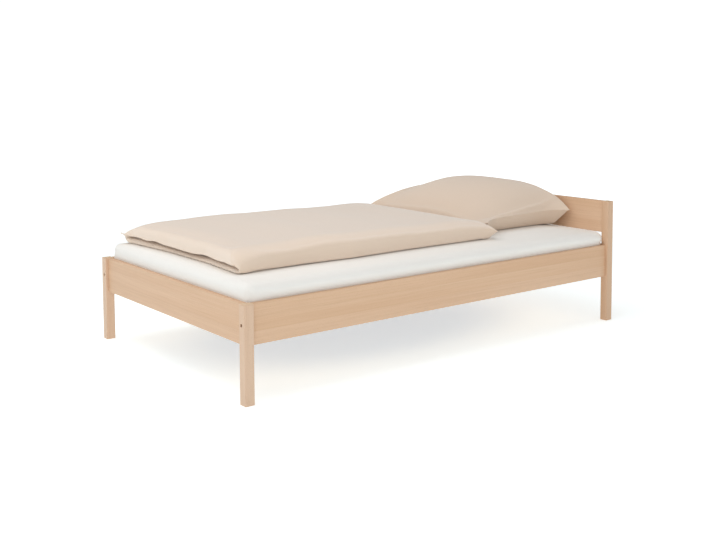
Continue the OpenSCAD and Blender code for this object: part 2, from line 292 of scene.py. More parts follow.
def mix_colour(nt, fac, a, b, x=0, y=0, blend="MIX"):
    n = node(nt, "ShaderNodeMix", x, y, data_type="RGBA", blend_type=blend)
    n.clamp_factor = True
    if isinstance(fac, (int, float)):
        n.inputs[0].default_value = fac
    else:
        nt.links.new(fac, n.inputs[0])
    for i, v in ((6, a), (7, b)):
        if isinstance(v, tuple):
            n.inputs[i].default_value = v
        else:
            nt.links.new(v, n.inputs[i])
    return n.outputs[2]


WOOD_LIGHT = lin(227, 192, 161)
WOOD_MID = lin(219, 180, 146)
WOOD_DARK = lin(199, 157, 120)


def beech(name, along, wide=None, stave=0.052, origin=0.0, seed=0.0, tint=1.0, rough=0.46, contrast=1.0, painted_light_cast=(1.0, 1.0, 1.0)):
    """oiled beech: fine straight grain along one axis, short ray flecks, glued staves across the wide axis, ringed end grain"""
    m, nt, bsdf = new_material(name)
    L = nt.links.new
    tc = node(nt, "ShaderNodeTexCoord", -2400, 0)
    sep = node(nt, "ShaderNodeSeparateXYZ", -2200, 0)
    L(tc.outputs["Object"], sep.inputs[0])
    axes = {"x": 0, "y": 1, "z": 2}
    others = [a for a in "xyz" if a != along]
    if wide is None:
        wide = others[0]
    thin = [a for a in others if a != wide][0]
    run, across, depth = (sep.outputs[axes[a]] for a in (along, wide, thin))
    # staves: a step count across the board gives each one its own tone and its own stretch of grain
    step = math_node(nt, "FLOOR", math_node(nt, "DIVIDE", math_node(nt, "SUBTRACT", across, origin, x=-2000, y=-200), stave, x=-1850, y=-200), x=-1700, y=-200)
    white = node(nt, "ShaderNodeTexWhiteNoise", -1550, -200, noise_dimensions="1D")
    L(math_node(nt, "ADD", step, seed + 0.37, x=-1600, y=-330), white.inputs["W"])
    stave_value = white.outputs["Value"]
    shift = math_node(nt, "MULTIPLY", stave_value, 9.0, x=-1400, y=-300)
    com = node(nt, "ShaderNodeCombineXYZ", -1300, 0)
    L(math_node(nt, "ADD", run, shift, x=-1400, y=60), com.inputs[0])
    L(math_node(nt, "ADD", across, seed * 1.7, x=-1400, y=0), com.inputs[1])
    L(math_node(nt, "ADD", depth, math_node(nt, "MULTIPLY", shift, 0.13, x=-1400, y=-160), x=-1300, y=-120), com.inputs[2])
    P = com.outputs[0]
    # broad tone, growth bands, fine grain lines, ray flecks and fibres, each stretched along the grain
    broad = noise_node(nt, scaled(nt, P, (0.7, 13.0, 13.0), -1100, 300), 1.0, 3.0, 0.5, x=-900, y=300)
    bend = noise_node(nt, scaled(nt, P, (0.9, 5.0, 5.0), -1100, 120), 1.0, 2.0, 0.5, x=-900, y=120)
    bands_at = node(nt, "ShaderNodeCombineXYZ", -900, -40)
    L(math_node(nt, "ADD", math_node(nt, "MULTIPLY", across, 150.0, x=-1100, y=-40), math_node(nt, "MULTIPLY", bend, 5.0, x=-1000, y=-80), x=-950, y=-40), bands_at.inputs[0])
    L(math_node(nt, "MULTIPLY", depth, 30.0, x=-1000, y=-120), bands_at.inputs[1])
    L(math_node(nt, "MULTIPLY", run, 0.7, x=-1000, y=-160), bands_at.inputs[2])
    bands = noise_node(nt, bands_at.outputs[0], 1.0, 2.0, 0.6, x=-700, y=-40)
    lines = noise_node(nt, scaled(nt, P, (6.0, 420.0, 420.0), -1100, -260), 1.0, 3.0, 0.6, x=-900, y=-260)
    flecks = noise_node(nt, scaled(nt, P, (170.0, 950.0, 520.0), -1100, -420), 1.0, 1.5, 0.5, x=-900, y=-420)
    fibre = noise_node(nt, scaled(nt, P, (38.0, 1900.0, 1900.0), -1100, -560), 1.0, 2.0, 0.6, x=-900, y=-560)
    # tint scales the piece's tone, and is painted shade on the head posts and headboard; the cast paints the foot legs
    # paler and cooler, a painted sheen, and the right head post slightly cooler
    tint_by = lambda c, k=1.0: (c[0] * tint * k * painted_light_cast[0], c[1] * tint * k * painted_light_cast[1], c[2] * tint * k * painted_light_cast[2], 1)
    c1 = mix_colour(nt, remap(nt, broad, 0.32, 0.70, 0.0, 1.0, -700, 300), tint_by(WOOD_MID), tint_by(WOOD_LIGHT), -500, 300)
    c2 = mix_colour(nt, remap(nt, bands, 0.38, 0.74, 0.0, 0.24 * contrast, -500, 60), c1, tint_by(WOOD_DARK), -300, 200)
    c3 = mix_colour(nt, remap(nt, lines, 0.50, 0.80, 0.0, 0.30 * contrast, -500, -120), c2, tint_by(WOOD_DARK, 0.9), -150, 140)
    c4 = mix_colour(nt, remap(nt, flecks, 0.63, 0.72, 0.0, 0.34 * contrast, -500, -300), c3, tint_by(lin(176, 132, 96)), 0, 80)
    tone = node(nt, "ShaderNodeHueSaturation", 130, 80)
    tone.inputs["Hue"].default_value = 0.5
    L(remap(nt, stave_value, 0.0, 1.0, 0.980, 1.020, -100, -80), tone.inputs["Value"])
    L(remap(nt, stave_value, 0.0, 1.0, 1.04, 0.97, -100, -220), tone.inputs["Saturation"])
    L(c4, tone.inputs["Color"])
    # the glue line between two staves
    part = math_node(nt, "FRACT", math_node(nt, "DIVIDE", math_node(nt, "SUBTRACT", across, origin, x=-700, y=-700), stave, x=-600, y=-700), x=-500, y=-700)
    near = math_node(nt, "MINIMUM", part, math_node(nt, "SUBTRACT", 1.0, part, x=-400, y=-760), x=-300, y=-700)
    glue = remap(nt, near, 0.0, 0.00045 / stave, 0.22, 0.0, -150, -700)
    c5 = mix_colour(nt, glue, tone.outputs["Color"], tint_by(lin(160, 118, 84)), 300, 60)
    # end grain on the faces across the grain
    geo = node(nt, "ShaderNodeNewGeometry", -700, -900)
    nsep = node(nt, "ShaderNodeSeparateXYZ", -500, -900)
    L(geo.outputs["Normal"], nsep.inputs[0])
    facing = math_node(nt, "ABSOLUTE", nsep.outputs[axes[along]], x=-350, y=-900)
    is_end = remap(nt, facing, 0.80, 0.93, 0.0, 1.0, -200, -900)
    ring_at = node(nt, "ShaderNodeCombineXYZ", -700, -1100)
    L(math_node(nt, "ADD", across, 0.031 + seed * 0.01, x=-900, y=-1060), ring_at.inputs[0])
    L(math_node(nt, "ADD", depth, 0.046, x=-900, y=-1140), ring_at.inputs[1])
    rings = node(nt, "ShaderNodeTexWave", -500, -1100, wave_type="RINGS", rings_direction="Z", wave_profile="SAW")
    rings.inputs["Scale"].default_value = 105.0
    rings.inputs["Distortion"].default_value = 1.6
    rings.inputs["Detail"].default_value = 2.0
    rings.inputs["Detail Scale"].default_value = 1.2
    L(ring_at.outputs[0], rings.inputs["Vector"])
    end_colour = mix_colour(nt, remap(nt, rings.outputs["Fac"], 0.0, 1.0, 0.0, 0.5, -300, -1100), tint_by(lin(222, 188, 150)), tint_by(lin(196, 154, 116)), -100, -1040)
    c6 = mix_colour(nt, is_end, c5, end_colour, 450, 40)
    L(c6, bsdf.inputs["Base Color"])
    # surface
    height = math_node(nt, "ADD", math_node(nt, "MULTIPLY", fibre, 0.6, x=-300, y=-560), math_node(nt, "MULTIPLY", lines, 0.8, x=-300, y=-620), x=-100, y=-560)
    height = math_node(nt, "SUBTRACT", height, math_node(nt, "MULTIPLY", glue, 1.2, x=0, y=-640), x=100, y=-560)
    bump = node(nt, "ShaderNodeBump", 350, -400)
    bump.inputs["Strength"].default_value = 0.22
    bump.inputs["Distance"].default_value = 0.0004
    L(height, bump.inputs["Height"])
    L(bump.outputs["Normal"], bsdf.inputs["Normal"])
    L(remap(nt, lines, 0.3, 0.8, rough - 0.05, rough + 0.07, 350, -150), bsdf.inputs["Roughness"])
    bsdf.inputs["Specular IOR Level"].default_value = 0.36
    bsdf.inputs["Coat Weight"].default_value = 0.06
    bsdf.inputs["Coat Roughness"].default_value = 0.34
    return m


def fabric(name, colour, thread=0.0007, weave=0.25, slub=0.03, sheen=0.15, rough=0.86, mottle=0.03, knit=False):
    """woven or knitted cotton, laid out on the piece's UVs in metres"""
    m, nt, bsdf = new_material(name)
    L = nt.links.new
    uv = node(nt, "ShaderNodeUVMap", -1800, 0)
    uv.uv_map = "UVMap"
    tc = node(nt, "ShaderNodeTexCoord", -1800, -400)
    k = 0.314159 / thread
    warp = node(nt, "ShaderNodeTexWave", -1300, 200, wave_type="BANDS", bands_direction="X", wave_profile="SIN")
    weft = node(nt, "ShaderNodeTexWave", -1300, -60, wave_type="BANDS", bands_direction="Y", wave_profile="SIN")
    for w, s in ((warp, 1.0), (weft, 0.62 if knit else 1.0)):
        w.inputs["Scale"].default_value = k * s
        w.inputs["Distortion"].default_value = 0.9
        w.inputs["Detail"].default_value = 1.0
        w.inputs["Detail Scale"].default_value = 0.12
        L(uv.outputs["UV"], w.inputs["Vector"])
    if knit:
        weave_h = math_node(nt, "MULTIPLY", warp.outputs["Fac"], math_node(nt, "ADD", weft.outputs["Fac"], 0.6, x=-1150, y=-60), x=-1000, y=60)
    else:
        # over and under: where the warp is up the weft is down
        weave_h = math_node(nt, "ABSOLUTE", math_node(nt, "SUBTRACT", warp.outputs["Fac"], weft.outputs["Fac"], x=-1100, y=60), x=-1000, y=60)
    slub_u = noise_node(nt, scaled(nt, uv.outputs["UV"], (14.0, 1.0 / thread, 1.0), -1500, -260), 1.0, 2.0, 0.6, x=-1300, y=-260)
    slub_v = noise_node(nt, scaled(nt, uv.outputs["UV"], (1.0 / thread, 14.0, 1.0), -1500, -420), 1.0, 2.0, 0.6, x=-1300, y=-420)
    slubs = math_node(nt, "ADD", slub_u, slub_v, x=-1100, y=-320)
    cloud = noise_node(nt, scaled(nt, tc.outputs["Object"], (3.0, 3.0, 3.0), -1500, -600), 1.0, 4.0, 0.55, x=-1300, y=-600)
    value = math_node(nt, "ADD", remap(nt, slubs, 0.6, 1.4, 1.0 - slub, 1.0 + slub, -900, -300), remap(nt, cloud, 0.25, 0.75, -mottle, mottle, -900, -560), x=-700, y=-400)
    # darker where the weave lies low and lighter on its crests: painted shade and highlight at thread scale
    value = math_node(nt, "MULTIPLY", value, remap(nt, weave_h, 0.0, 1.0, 0.965, 1.02, -800, 60), x=-550, y=-300)
    tone = node(nt, "ShaderNodeHueSaturation", -300, 0)
    tone.inputs["Color"].default_value = colour
    L(value, tone.inputs["Value"])
    L(tone.outputs["Color"], bsdf.inputs["Base Color"])
    height = math_node(nt, "ADD", math_node(nt, "MULTIPLY", weave_h, 0.7, x=-700, y=200), math_node(nt, "MULTIPLY", slubs, 0.5, x=-700, y=120), x=-500, y=180)
    bump = node(nt, "ShaderNodeBump", 0, -300)
    bump.inputs["Strength"].default_value = weave
    bump.inputs["Distance"].default_value = thread * 0.5
    L(height, bump.inputs["Height"])
    L(bump.outputs["Normal"], bsdf.inputs["Normal"])
    L(remap(nt, slubs, 0.6, 1.4, rough - 0.04, rough + 0.05, -100, -150), bsdf.inputs["Roughness"])
    bsdf.inputs["Specular IOR Level"].default_value = 0.22
    bsdf.inputs["Sheen Weight"].default_value = sheen
    bsdf.inputs["Sheen Roughness"].default_value = 0.55
    bsdf.inputs["Sheen Tint"].default_value = (1.0, 0.995, 0.985, 1)
    return m


def metal(name, colour, rough, scratch=0.04, brushed=300.0):
    m, nt, bsdf = new_material(name)
    tc = node(nt, "ShaderNodeTexCoord", -1200, 0)
    turned = noise_node(nt, scaled(nt, tc.outputs["Object"], (brushed * 6, brushed, brushed), -1000, 0), 1.0, 2.0, 0.6, x=-800)
    worn = noise_node(nt, scaled(nt, tc.outputs["Object"], (220, 220, 220), -1000, -220), 1.0, 4.0, 0.6, x=-800, y=-220)
    nt.links.new(remap(nt, turned, 0.3, 0.7, rough - scratch, rough + scratch * 2, -500, 0), bsdf.inputs["Roughness"])
    tone = mix_colour(nt, remap(nt, worn, 0.35, 0.75, 0.0, 0.6, -500, -220), colour, tuple(c * 0.7 for c in colour[:3]) + (1,), -200, -100)
    nt.links.new(tone, bsdf.inputs["Base Color"])
    bump = node(nt, "ShaderNodeBump", 0, -300)
    bump.inputs["Strength"].default_value = 0.15
    bump.inputs["Distance"].default_value = 0.0001
    nt.links.new(turned, bump.inputs["Height"])
    nt.links.new(bump.outputs["Normal"], bsdf.inputs["Normal"])
    bsdf.inputs["Metallic"].default_value = 1.0
    return m


def dress(node_name, material):
    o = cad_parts[node_name]
    o.data.materials.clear()
    o.data.materials.append(material)
    for p in o.data.polygons:
        p.material_index = 0
    return o


# ---------------------------------------------------------------- frame, slats and fasteners

def dress_frame():
    # painted light: the foot legs are paler and cooler, a painted sheen from the light at the foot, and the head posts
    # and headboard are darker, painted shade towards the head end
    dress("foot_leg_left", beech("beech_foot_leg_left", "z", "y", stave=0.09, origin=0.59, seed=1.3, painted_light_cast=(1.0, 1.04, 1.10)))
    dress("foot_leg_right", beech("beech_foot_leg_right", "z", "y", stave=0.09, origin=-0.68, seed=2.6, painted_light_cast=(1.0, 1.05, 1.13)))
    dress("head_post_left", beech("beech_head_post_left", "z", "y", stave=0.09, origin=0.59, seed=3.1, tint=0.96))
    dress("head_post_right", beech("beech_head_post_right", "z", "y", stave=0.09, origin=-0.68, seed=4.4, tint=0.94, painted_light_cast=(1.0, 1.01, 1.03)))
    dress("side_rail_left", beech("beech_side_rail_left", "x", "z", stave=0.052, origin=0.219, seed=5.2))
    dress("side_rail_right", beech("beech_side_rail_right", "x", "z", stave=0.052, origin=0.219, seed=6.9))
    dress("foot_rail", beech("beech_foot_rail", "y", "z", stave=0.052, origin=0.219, seed=7.7))
    dress("head_rail", beech("beech_head_rail", "y", "z", stave=0.052, origin=0.219, seed=8.5))
    dress("headboard", beech("beech_headboard", "y", "z", stave=0.052, origin=0.434, seed=9.4, tint=0.99))
    ledge = beech("beech_ledge", "x", "z", stave=0.2, origin=0.1, seed=11.0, tint=0.98, rough=0.6)
    dress("slat_ledge_left", ledge)
    dress("slat_ledge_right", ledge)
    slat = beech("beech_slat", "y", "x", stave=0.12, origin=-1.02, seed=12.5, tint=0.99, rough=0.62, contrast=1.25)
    for i in range(1, 18):
        dress("slat_%02d" % i, slat)
    dowel_x = beech("beech_dowel_x", "x", "y", stave=0.3, origin=-0.75, seed=13.0, rough=0.6)
    dowel_y = beech("beech_dowel_y", "y", "x", stave=0.3, origin=-1.2, seed=14.0, rough=0.6)
    dress("side_rail_dowels", dowel_x)
    dress("end_rail_dowels", dowel_y)
    dress("headboard_dowels", dowel_y)
    dress("frame_bolts", metal("burnished_bolt_steel", lin(172, 144, 120), 0.5))
    zinc = metal("zinc_plated_steel", lin(196, 197, 200), 0.32)
    for n in ("barrel_nuts", "ledge_screws", "slat_staples"):
        dress(n, zinc)


def box_uv(o):
    """UVs in metres on a CAD strip, from its own mesh's length and width, as an extra layer"""
    me = o.data
    layer = me.uv_layers.get("UVMap") or me.uv_layers.new(name="UVMap")
    co = coords(o)
    idx = np.zeros(len(me.loops), np.int32)
    me.loops.foreach_get("vertex_index", idx)
    layer.data.foreach_set("uv", co[idx][:, :2].astype(np.float32).ravel())


dress_frame()
webbing = fabric("webbing_cotton", lin(226, 220, 205), thread=0.0022, weave=0.8, slub=0.05, sheen=0.05, mottle=0.03)
for tape in ("slat_tape_left", "slat_tape_right"):
    box_uv(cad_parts[tape])
    dress(tape, webbing)


# ---------------------------------------------------------------- soft pieces

def quarter(s):
    """0 at 0, 1 from 1 on, rising like a quarter circle"""
    s = np.clip(s, 0.0, 1.0)
    return np.sqrt(1 - (1 - s) ** 2)


def graded(length, n, k):
    """n + 1 places from 0 to length, closer together at both ends"""
    s = np.linspace(-1, 1, n + 1)
    return length * (0.5 + 0.5 * np.sin(s * math.pi / 2 * k) / math.sin(math.pi / 2 * k))


def two_skins(name, outer, inner, uv):
    """a closed envelope from two grids of points that are sewn together round the rim"""
    nu, nv = outer.shape[0] - 1, outer.shape[1] - 1
    n1 = (nu + 1) * (nv + 1)
    idx = lambda a, b: a * (nv + 1) + b
    rim = [idx(a, 0) for a in range(nu + 1)] + [idx(nu, b) for b in range(1, nv + 1)] + \
          [idx(a, nv) for a in range(nu - 1, -1, -1)] + [idx(0, b) for b in range(nv - 1, 0, -1)]
    # the inner skin has its own points everywhere but on the rim
    remap = np.arange(n1) + n1
    remap[rim] = rim
    keep = np.setdiff1d(np.arange(n1), rim)
    place = np.full(2 * n1, -1)
    place[:n1] = np.arange(n1)
    place[n1 + keep] = n1 + np.arange(len(keep))
    pts = np.concatenate([outer.reshape(-1, 3), inner.reshape(-1, 3)[keep]])
    flat = np.concatenate([uv.reshape(-1, 2), uv.reshape(-1, 2)[keep]])
    faces = []
    for a in range(nu):
        for b in range(nv):
            q = (idx(a, b), idx(a, b + 1), idx(a + 1, b + 1), idx(a + 1, b))
            faces.append(q)
            faces.append(tuple(int(place[remap[i]]) for i in reversed(q)))
    o = make_mesh(name, pts, faces, flat)
    return o, n1, np.array(rim), keep


def relax(o, rest, frames, pressure, cap, pin=None, tension=12.0, bending=0.6, shear=5.0, gravity=0.0, shrink=0.0, mass=0.2, floor=None, walls=(), quality=6):
    """let a sewn envelope settle as cloth whose panels were cut to the rest shape; no point moves further than cap"""
    start = coords(o)
    o.shape_key_add(name="Basis")
    key = o.shape_key_add(name="cut")
    key.data.foreach_set("co", np.asarray(rest, np.float32).ravel())
    key.value = 0.0
    colliders = []
    boxes = list(walls)
    if floor is not None:
        boxes.append(floor)
    for lo_, hi_ in boxes:
        me = bpy.data.meshes.new("collider")
        v = [(x, y, z) for x in (lo_[0], hi_[0]) for y in (lo_[1], hi_[1]) for z in (lo_[2], hi_[2])]
        me.from_pydata(v, [], [(0, 1, 3, 2), (4, 6, 7, 5), (0, 4, 5, 1), (2, 3, 7, 6), (0, 2, 6, 4), (1, 5, 7, 3)])
        c = bpy.data.objects.new("collider", me)
        scene.collection.objects.link(c)
        cm = c.modifiers.new("Collision", "COLLISION")
        c.collision.thickness_outer = 0.001
        c.collision.cloth_friction = 20
        colliders.append(c)
    m = o.modifiers.new("Cloth", "CLOTH")
    s = m.settings
    s.quality = quality
    s.mass = mass
    s.tension_stiffness = s.compression_stiffness = tension
    s.shear_stiffness = shear
    s.bending_stiffness = bending
    s.tension_damping = s.compression_damping = 5
    s.shear_damping = 5
    s.bending_damping = 0.5
    s.air_damping = 6
    s.use_pressure = True
    s.uniform_pressure_force = pressure
    s.shrink_min = shrink
    s.effector_weights.gravity = gravity
    s.rest_shape_key = key
    if pin is not None:
        g = o.vertex_groups.new(name="pin")
        for w in sorted(set(np.round(pin, 2))):
            if w > 0:
                g.add([int(i) for i in np.nonzero(np.round(pin, 2) == w)[0]], float(w), "REPLACE")
        s.vertex_group_mass = "pin"
        s.pin_stiffness = 1.0
    m.collision_settings.use_collision = bool(colliders)
    m.collision_settings.distance_min = 0.0012
    m.collision_settings.use_self_collision = False
    m.point_cache.frame_start = 1
    m.point_cache.frame_end = frames
    for f in range(1, frames + 1):
        scene.frame_set(f)
    e = o.evaluated_get(bpy.context.evaluated_depsgraph_get())
    end = np.zeros(len(e.data.vertices) * 3, np.float32)
    e.data.vertices.foreach_get("co", end)
    end = end.reshape(-1, 3).astype(float)
    o.modifiers.remove(m)
    o.shape_key_clear()
    if pin is not None:
        o.vertex_groups.clear()
    for c in colliders:
        me = c.data
        bpy.data.objects.remove(c)
        bpy.data.meshes.remove(me)
    scene.frame_set(1)
    d = end - start
    n = np.linalg.norm(d, axis=1)
    print("relax %s: mean move %.1f mm, 95%% %.1f mm, most %.1f mm, capped %d" % (o.name, n.mean() * 1e3, np.percentile(n, 95) * 1e3, n.max() * 1e3, (n > cap).sum()))
    d *= (np.minimum(n, cap) / np.maximum(n, 1e-9))[:, None]
    set_coords(o, start + d)


# ---------------------------------------------------------------- mattress and fitted sheet

def outline(l, w, r, n_corner, step):
    """points, outward normals and run length round a rectangle with round corners, anticlockwise from +X side"""
    pts, nrm = [], []
    for cx, cy, a0 in ((l / 2 - r, w / 2 - r, 0), (-l / 2 + r, w / 2 - r, 90), (-l / 2 + r, -w / 2 + r, 180), (l / 2 - r, -w / 2 + r, 270)):
        for k in range(n_corner + 1):
            a = math.radians(a0 + 90 * k / n_corner)
            pts.append((cx + r * math.cos(a), cy + r * math.sin(a)))
            nrm.append((math.cos(a), math.sin(a)))
        nx = {0: (-l / 2 + r, w / 2), 90: (-l / 2, -w / 2 + r), 180: (l / 2 - r, -w / 2), 270: (l / 2, w / 2 - r)}[a0]
        p = pts[-1]
        d = math.hypot(nx[0] - p[0], nx[1] - p[1])
        m = max(2, int(round(d / step)))
        for k in range(1, m):
            pts.append((p[0] + (nx[0] - p[0]) * k / m, p[1] + (nx[1] - p[1]) * k / m))
            nrm.append(nrm[-1])
    return np.array(pts), np.array(nrm)


def loft_block(name, l, w, R, z_low, z_high, r_top, r_bot, step, skirt=None, inset_rings=22):
    """the skin of a soft block: rings from the middle of the top, over the edge, down the side and under.
    Returns the points, their UVs, ring and column numbers, the faces, the outline, its outward 2-D normals, the rings
    with their run past the top's edge, and the number of points round the outline"""
    per, nrm = outline(l, w, R, 12, step)
    n = len(per)
    skel = np.stack([np.clip(per[:, 0], -(l - w) / 2, (l - w) / 2), np.zeros(n)], 1)
    rows = []     # (inset share or None, outward, z, run)
    prof = []
    for k in range(inset_rings):
        s = 1 - k / inset_rings
        prof.append(("top", s ** 1.15, z_high, 0.0))
    # over the top edge
    arc = max(5, int(r_top * 1.6 / 0.008))
    for k in range(arc + 1):
        a = math.pi / 2 * k / arc
        prof.append(("side", -r_top + r_top * math.sin(a), z_high - r_top + r_top * math.cos(a), r_top * a))
    run = r_top * math.pi / 2
    h = (z_high - r_top) - (z_low + r_bot)
    m = max(3, int(round(h / 0.010)))
    for k in range(1, m + 1):
        prof.append(("side", 0.0, z_high - r_top - h * k / m, run + h * k / m))
    run += h
    for k in range(1, arc + 1):
        a = math.pi / 2 * k / arc
        prof.append(("side", -r_bot + r_bot * math.cos(a), z_low + r_bot - r_bot * math.sin(a), run + r_bot * a))
    run += r_bot * math.pi / 2
    if skirt:
        m = int(round(skirt / 0.012))
        for k in range(1, m + 1):
            prof.append(("side", -r_bot - skirt * k / m, z_low, run + skirt * k / m))
    else:
        for k in range(inset_rings):
            s = (k + 1) / inset_rings
            prof.append(("bottom", s, z_low, run))
    pts, uvs, info = [], [], []
    top_edge = per - nrm * r_top
    bot_edge = per - nrm * r_bot
    for j, (kind, a, z, run) in enumerate(prof):
        if kind == "top":
            q = skel + (top_edge - skel) * (1 - a)
            uv = q
        elif kind == "side":
            # the corner radius can't be passed, yet deep insets are not stopped at the corner's centre
            q = per + nrm * a
            if a < -R:
                q = per + nrm * a
            uv = top_edge + nrm * run
        else:
            q = bot_edge + (skel - bot_edge) * a
            uv = q
        for i in range(n):
            pts.append((q[i, 0], q[i, 1], z))
            uvs.append(uv[i])
            info.append((j, i))
    faces = []
    rowsn = len(prof)
    for j in range(rowsn - 1):
        for i in range(n):
            a, b = j * n + i, j * n + (i + 1) % n
            faces.append((a, a + n, b + n, b))
    return np.array(pts), np.array(uvs), np.array(info), faces, per, nrm, prof, n


def close_pole(pts, faces, first, n):
    """drop quads that fold to nothing where a ring lies on the middle line"""
    return [f for f in faces if len({tuple(np.round(pts[i], 5)) for i in f}) >= 3]


def weld(o, dist=0.0002):
    import bmesh
    bm = bmesh.new()
    bm.from_mesh(o.data)
    bmesh.ops.remove_doubles(bm, verts=bm.verts, dist=dist)
    bmesh.ops.recalc_face_normals(bm, faces=bm.faces)
    bm.to_mesh(o.data)
    bm.free()
    o.data.shade_smooth()


SHEET_LO, SHEET_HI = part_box("fitted_sheet")
BED_TOP = SHEET_HI.z


def bed_sink(x, y):
    """how far the bed's top lies below its middle: it falls off towards the edges, less at the foot"""
    foot = np.clip(x - SHEET_LO.x, 0, None)
    rest = np.clip(np.minimum(SHEET_HI.x - x, SHEET_HI.y - np.abs(y)), 0, None)
    return np.minimum(-0.0025 * (1 - smooth((foot - 0.004) / 0.155)), -0.0074 * (1 - smooth((rest - 0.004) / 0.155)))


def make_sheet():
    l, w = SHEET_HI.x - SHEET_LO.x, SHEET_HI.y - SHEET_LO.y
    R, r = 0.030, 0.028
    pts, uvs, info, faces, per, nrm, prof, n = loft_block("fitted_sheet_cloth", l, w, R, SHEET_LO.z, SHEET_HI.z, r, 0.016, 0.02, skirt=0.104)
    j, i = info[:, 0], info[:, 1]
    kinds = np.array([{"top": 0, "side": 1, "bottom": 2}[prof[a][0]] for a in j])
    run = np.array([prof[a][3] for a in j])
    nx, ny = nrm[i, 0], nrm[i, 1]
    # how far along the outline the nearest corner is
    corner = np.hypot(np.abs(pts[:, 0]) - (l / 2 - R), np.abs(pts[:, 1]) - (w / 2 - R))
    cd = np.where((np.abs(pts[:, 0]) > l / 2 - R) & (np.abs(pts[:, 1]) > w / 2 - R), 0.0, corner)
    # the skin over the mattress is a little crowned, and sinks towards its edges
    u = np.clip(1 - np.maximum(np.abs(pts[:, 0]) / (l / 2), np.abs(pts[:, 1]) / (w / 2)), 0, 1)
    low = value_noise(pts * np.array([2.1, 2.1, 1.0]) + 5.3, 3) * 0.0012 + value_noise(pts * np.array([6.0, 6.0, 1.0]), 8) * 0.0006
    top = kinds == 0
    crown = bed_sink(pts[:, 0], pts[:, 1])
    pts[:, 2] += np.where(top, crown + low * smooth(u * 6) - 0.0002, 0)
    edge = (kinds == 1) & (pts[:, 2] > SHEET_HI.z - r - 0.001)
    pts[:, 2] += np.where(edge, crown - 0.0002, 0)
    # tension folds that fan out from the sewn corners, and long soft waves on the sides
    side = (kinds == 1) & (run < 0.17)
    fan = np.zeros(len(pts))
    for sx in (-1, 1):
        for sy in (-1, 1):
            dx = np.abs(pts[:, 0] - sx * l / 2)
            dy = np.abs(pts[:, 1] - sy * w / 2)
            d = np.where(np.abs(nx) > np.abs(ny), dy, dx)
            near = (np.sign(pts[:, 0]) == sx) & (np.sign(pts[:, 1]) == sy)
            depth = SHEET_HI.z - pts[:, 2]
            ang = np.arctan2(depth + 0.03, d + 0.02)
            f = np.sin(ang * 17 + sx * 1.3 + sy * 0.7 + value_noise(pts * 9, 5) * 1.2) * np.exp(-d / 0.16) * smooth(d / 0.05)
            fan += np.where(near, f, 0)
    wave = value_noise(np.stack([pts[:, 0] * 7, pts[:, 1] * 7, pts[:, 2] * 22 + pts[:, 0] * 3], 1), 12)
    out = (fan * 0.0014 + wave * 0.0009) * smooth(run / 0.05) * np.where(side, 1, 0)
    # the side stands flush with the rails' inner faces and swells out a little above them
    z_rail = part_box("foot_rail")[1].z
    flush = (0.0007 + 0.0026 * nx ** 2) * smooth((SHEET_HI.z - 0.004 - pts[:, 2]) / 0.030)
    swell = smooth((SHEET_HI.z - 0.012 - pts[:, 2]) / 0.030) * smooth((pts[:, 2] - z_rail - 0.003) / 0.028)
    corner_hold = smooth(np.maximum(l / 2 - np.abs(pts[:, 0]), w / 2 - np.abs(pts[:, 1])) / 0.09)
    reach = np.where(np.abs(nx) > np.abs(ny), 0.0020, 0.0040)
    at_corner = np.where(pts[:, 0] > 0, 0.0090, -0.0040)
    out = np.minimum(out, 0.0002) + flush + swell * (at_corner + (reach - at_corner) * corner_hold)
    out = out * np.where(side, 1, 0)
    pts[:, 0] += nx * out
    pts[:, 1] += ny * out
    # the turned-under part is gathered by its elastic
    under = (kinds == 1) & (run > 0.165 + 0.03)
    k = smooth((run - 0.20) / 0.06)
    along = np.where(np.abs(nx) > np.abs(ny), pts[:, 1], pts[:, 0])
    gather = (0.5 + 0.5 * np.sin(along * 150 + value_noise(pts * 14, 7) * 3)) * 0.0028
    pts[:, 2] += np.where(under, gather * k, 0)
    o = make_mesh("fitted_sheet_cloth", pts, faces, uvs)
    weld(o)
    subdivide(o, 1)
    o.data.materials.append(fabric("sheet_jersey", lin(247, 244, 239), thread=0.0006, weave=0.12, slub=0.01, sheen=0.1, rough=0.9, mottle=0.008, knit=True))
    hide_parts("fitted_sheet", "sheet_elastic")
    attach(o, "mattress")
    return o


def make_pad():
    """the mattress in its cover, inside the sheet: its underside shows between the slats"""
    lo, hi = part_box("mattress_cover")
    l, w = hi.x - lo.x - 0.004, hi.y - lo.y - 0.004
    pts, uvs, info, faces, per, nrm, prof, n = loft_block("mattress_pad", l, w, 0.028, lo.z + 0.0035, hi.z - 0.011, 0.027, 0.016, 0.03, inset_rings=40)
    j = info[:, 0]
    bottom = np.array([prof[a][0] == "bottom" for a in j])
    # diamond quilting sewn into the underside
    a, b = (pts[:, 0] + pts[:, 1]) / 0.16, (pts[:, 0] - pts[:, 1]) / 0.16
    da, db = np.abs(a - np.round(a)), np.abs(b - np.round(b))
    puff = np.minimum(1, np.minimum(da, db) / 0.28)
    pts[:, 2] += np.where(bottom, 0.0022 * (1 - puff ** 0.7), 0)
    o = make_mesh("mattress_pad", pts, faces, uvs)
    weld(o)
    subdivide(o, 1)
    o.data.materials.append(fabric("mattress_ticking", lin(238, 238, 234), thread=0.0014, weave=0.4, slub=0.02, sheen=0.15, rough=0.85, mottle=0.01))
    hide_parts("mattress_core", "mattress_cover")
    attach(o, "mattress")
    return o


sheet_cloth = make_sheet()
pad = make_pad()


# ---------------------------------------------------------------- duvet

def stations(length, ends, step, extra=()):
    """places from 0 to length: the given ones at both ends, even steps between; extra is not used"""
    ends = np.asarray(ends)
    m = int(round((length - 2 * ends[-1]) / step))
    mid = np.linspace(ends[-1], length - ends[-1], m + 1)[1:-1]
    return np.concatenate([ends, mid, length - ends[::-1]])


